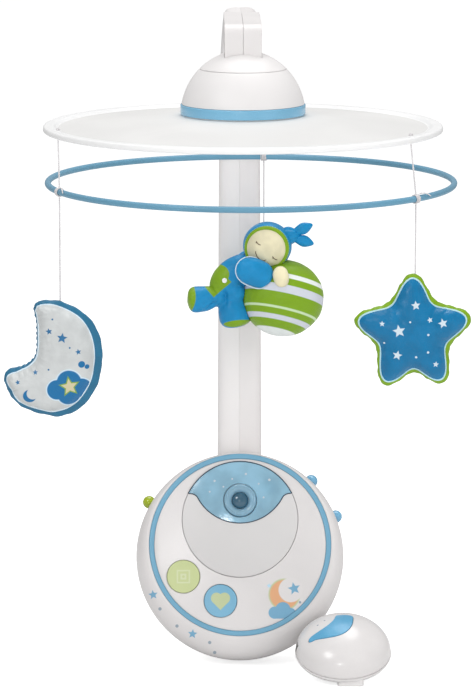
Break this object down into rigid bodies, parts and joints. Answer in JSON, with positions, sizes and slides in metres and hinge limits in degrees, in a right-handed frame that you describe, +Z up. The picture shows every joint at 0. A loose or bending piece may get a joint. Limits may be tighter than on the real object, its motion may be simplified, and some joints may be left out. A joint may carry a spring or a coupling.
{
  "type": "crib mobile",
  "caption": "Crib mobile: a round projector panel with a rail clamp and cane-shaped post, a motor dome that turns a canopy disc, and soft toys hung from a ring; remote control beside it.",
  "frame": {"origin": "middle of the clamp pad's face on the back of the panel, which rests against the crib rail", "axes": "+Z up, +Y out of the pad's face towards the rail, the panel's face and the carousel towards -Y"},
  "size_m": [0.4358, 0.576, 0.6786],
  "materials": {
    "white_plastic": "satin moulded",
    "matt_white": "fine matt",
    "grey_white": "satin",
    "sky_blue": "satin moulded",
    "clear_blue": "clear tinted",
    "clear_green": "clear tinted",
    "pale_green": "satin moulded",
    "lens": "polished",
    "black": "dark tinted",
    "steel": "bright",
    "acetal": "natural",
    "rubber": "matt",
    "cord": "twisted",
    "blue_cloth": "satin weave",
    "green_cloth": "satin weave",
    "cream_cloth": "soft knit",
    "satin": "satin weave"
  },
  "bodies": {
    "housing": {"clamp_pad": "rubber", "clamp_stud": "white_plastic", "rear_shell": "white_plastic", "front_shell": "white_plastic", "trim_ring": "sky_blue", "well_cover": "grey_white", "projector_window": "clear_blue", "projector_lamp": "acetal", "battery_door": "white_plastic", "post_left_shell": "white_plastic", "post_right_shell": "white_plastic", "neck_left_shell": "white_plastic", "neck_right_shell": "white_plastic", "dome_cap": "white_plastic", "dome_shell": "white_plastic", "dome_band": "clear_blue", "gear_plate": "acetal", "drive_motor": "steel"},
    "carousel": {"output_gear": "acetal", "drive_shaft": "steel", "canopy_disc": "matt_white", "hub_nut": "white_plastic", "moon_upper_string": "cord", "star_upper_string": "cord", "doll_upper_string": "cord", "hanging_ring": "sky_blue"},
    "motor_rotor": {"motor_pinion": "acetal"},
    "moon_hanger": {"moon_lower_string": "cord", "moon_toy": "satin"},
    "star_hanger": {"star_lower_string": "cord", "star_toy": "blue_cloth"},
    "doll_hanger": {"doll_lower_string": "cord", "doll_head": "cream_cloth", "doll_body": "blue_cloth", "doll_lower_leg": "blue_cloth", "doll_raised_leg": "blue_cloth", "doll_front_arm": "blue_cloth", "doll_back_arm": "blue_cloth", "doll_front_hand": "cream_cloth", "doll_back_hand": "cream_cloth", "hood_upper_tail": "blue_cloth", "hood_lower_tail": "blue_cloth", "play_ball": "green_cloth"},
    "focus": {"focus_barrel": "clear_blue", "projector_lens": "lens"},
    "picture_wheel": {"picture_wheel": "matt_white"},
    "green_button": {"green_button": "pale_green"},
    "blue_button": {"blue_button": "sky_blue"},
    "green_slider": {"green_slider": "clear_green"},
    "upper_blue_slider": {"upper_blue_slider": "clear_blue"},
    "lower_blue_slider": {"lower_blue_slider": "clear_blue"},
    "clamp_jaw": {"clamp_jaw": "white_plastic"},
    "clamp_nut": {"clamp_nut": "white_plastic"},
    "remote": {"remote_upper_shell": "white_plastic", "remote_lower_shell": "white_plastic", "remote_signal_window": "black"},
    "remote_button": {"remote_button": "sky_blue"}
  },
  "joints": [
    {"name": "carousel_spin", "type": "hinge", "parent": "housing", "child": "carousel", "pos_m": [0, -0.302, 0.469], "axis": [0, 0, 1], "continuous": true},
    {"name": "motor_spin", "type": "hinge", "parent": "housing", "child": "motor_rotor", "pos_m": [0, -0.2732, 0.512], "axis": [0, 0, 1], "continuous": true},
    {"name": "moon_swing", "type": "hinge", "parent": "carousel", "child": "moon_hanger", "pos_m": [-0.17222, -0.37211, 0.4195], "axis": [1, 0, 0], "range_deg": [-20, 20]},
    {"name": "star_swing", "type": "hinge", "parent": "carousel", "child": "star_hanger", "pos_m": [0.1578, -0.4232, 0.4195], "axis": [1, 0, 0], "range_deg": [-20, 20]},
    {"name": "doll_swing", "type": "hinge", "parent": "carousel", "child": "doll_hanger", "pos_m": [0.02325, -0.10963, 0.4195], "axis": [1, 0, 0], "range_deg": [-12, 12]},
    {"name": "focus_turn", "type": "hinge", "parent": "housing", "child": "focus", "pos_m": [0, -0.06867, 0.06004], "axis": [0, -0.9744, 0.225], "range_deg": [-45, 45]},
    {"name": "picture_wheel_spin", "type": "hinge", "parent": "housing", "child": "picture_wheel", "pos_m": [0.013, -0.05637, 0.06438], "axis": [0, -0.9744, 0.225], "continuous": true},
    {"name": "green_press", "type": "slide", "parent": "housing", "child": "green_button", "axis": [0, 0.9744, -0.225], "range_m": [0, 0.0015], "stiffness_N_per_m": 400},
    {"name": "blue_press", "type": "slide", "parent": "housing", "child": "blue_button", "axis": [0, 0.9744, -0.225], "range_m": [0, 0.0015], "stiffness_N_per_m": 400},
    {"name": "green_slide", "type": "hinge", "parent": "housing", "child": "green_slider", "pos_m": [0, -0.062, 0], "axis": [0, -0.9744, 0.225], "range_deg": [-4, 4]},
    {"name": "upper_blue_slide", "type": "hinge", "parent": "housing", "child": "upper_blue_slider", "pos_m": [0, -0.062, 0], "axis": [0, -0.9744, 0.225], "range_deg": [-4, 4]},
    {"name": "lower_blue_slide", "type": "hinge", "parent": "housing", "child": "lower_blue_slider", "pos_m": [0, -0.062, 0], "axis": [0, -0.9744, 0.225], "range_deg": [-4, 4]},
    {"name": "jaw_slide", "type": "slide", "parent": "housing", "child": "clamp_jaw", "axis": [0, 1, 0], "range_m": [-0.022, 0.012]},
    {"name": "nut_turn", "type": "hinge", "parent": "clamp_jaw", "child": "clamp_nut", "pos_m": [0, 0.0423, 0.02], "axis": [0, 1, 0], "range_deg": [-1321, 721]},
    {"name": "remote_lift", "type": "slide", "parent": "housing", "child": "remote", "axis": [0, 0, 1], "range_m": [0, 0.06]},
    {"name": "remote_press", "type": "slide", "parent": "remote", "child": "remote_button", "axis": [0, 0.3746, -0.9272], "range_m": [0, 0.001], "stiffness_N_per_m": 400}
  ],
  "couplings": [
    {"joint": "motor_spin", "follows": "carousel_spin", "ratio": -3},
    {"joint": "nut_turn", "follows": "jaw_slide", "rad_per_m": 1047.2}
  ]
}
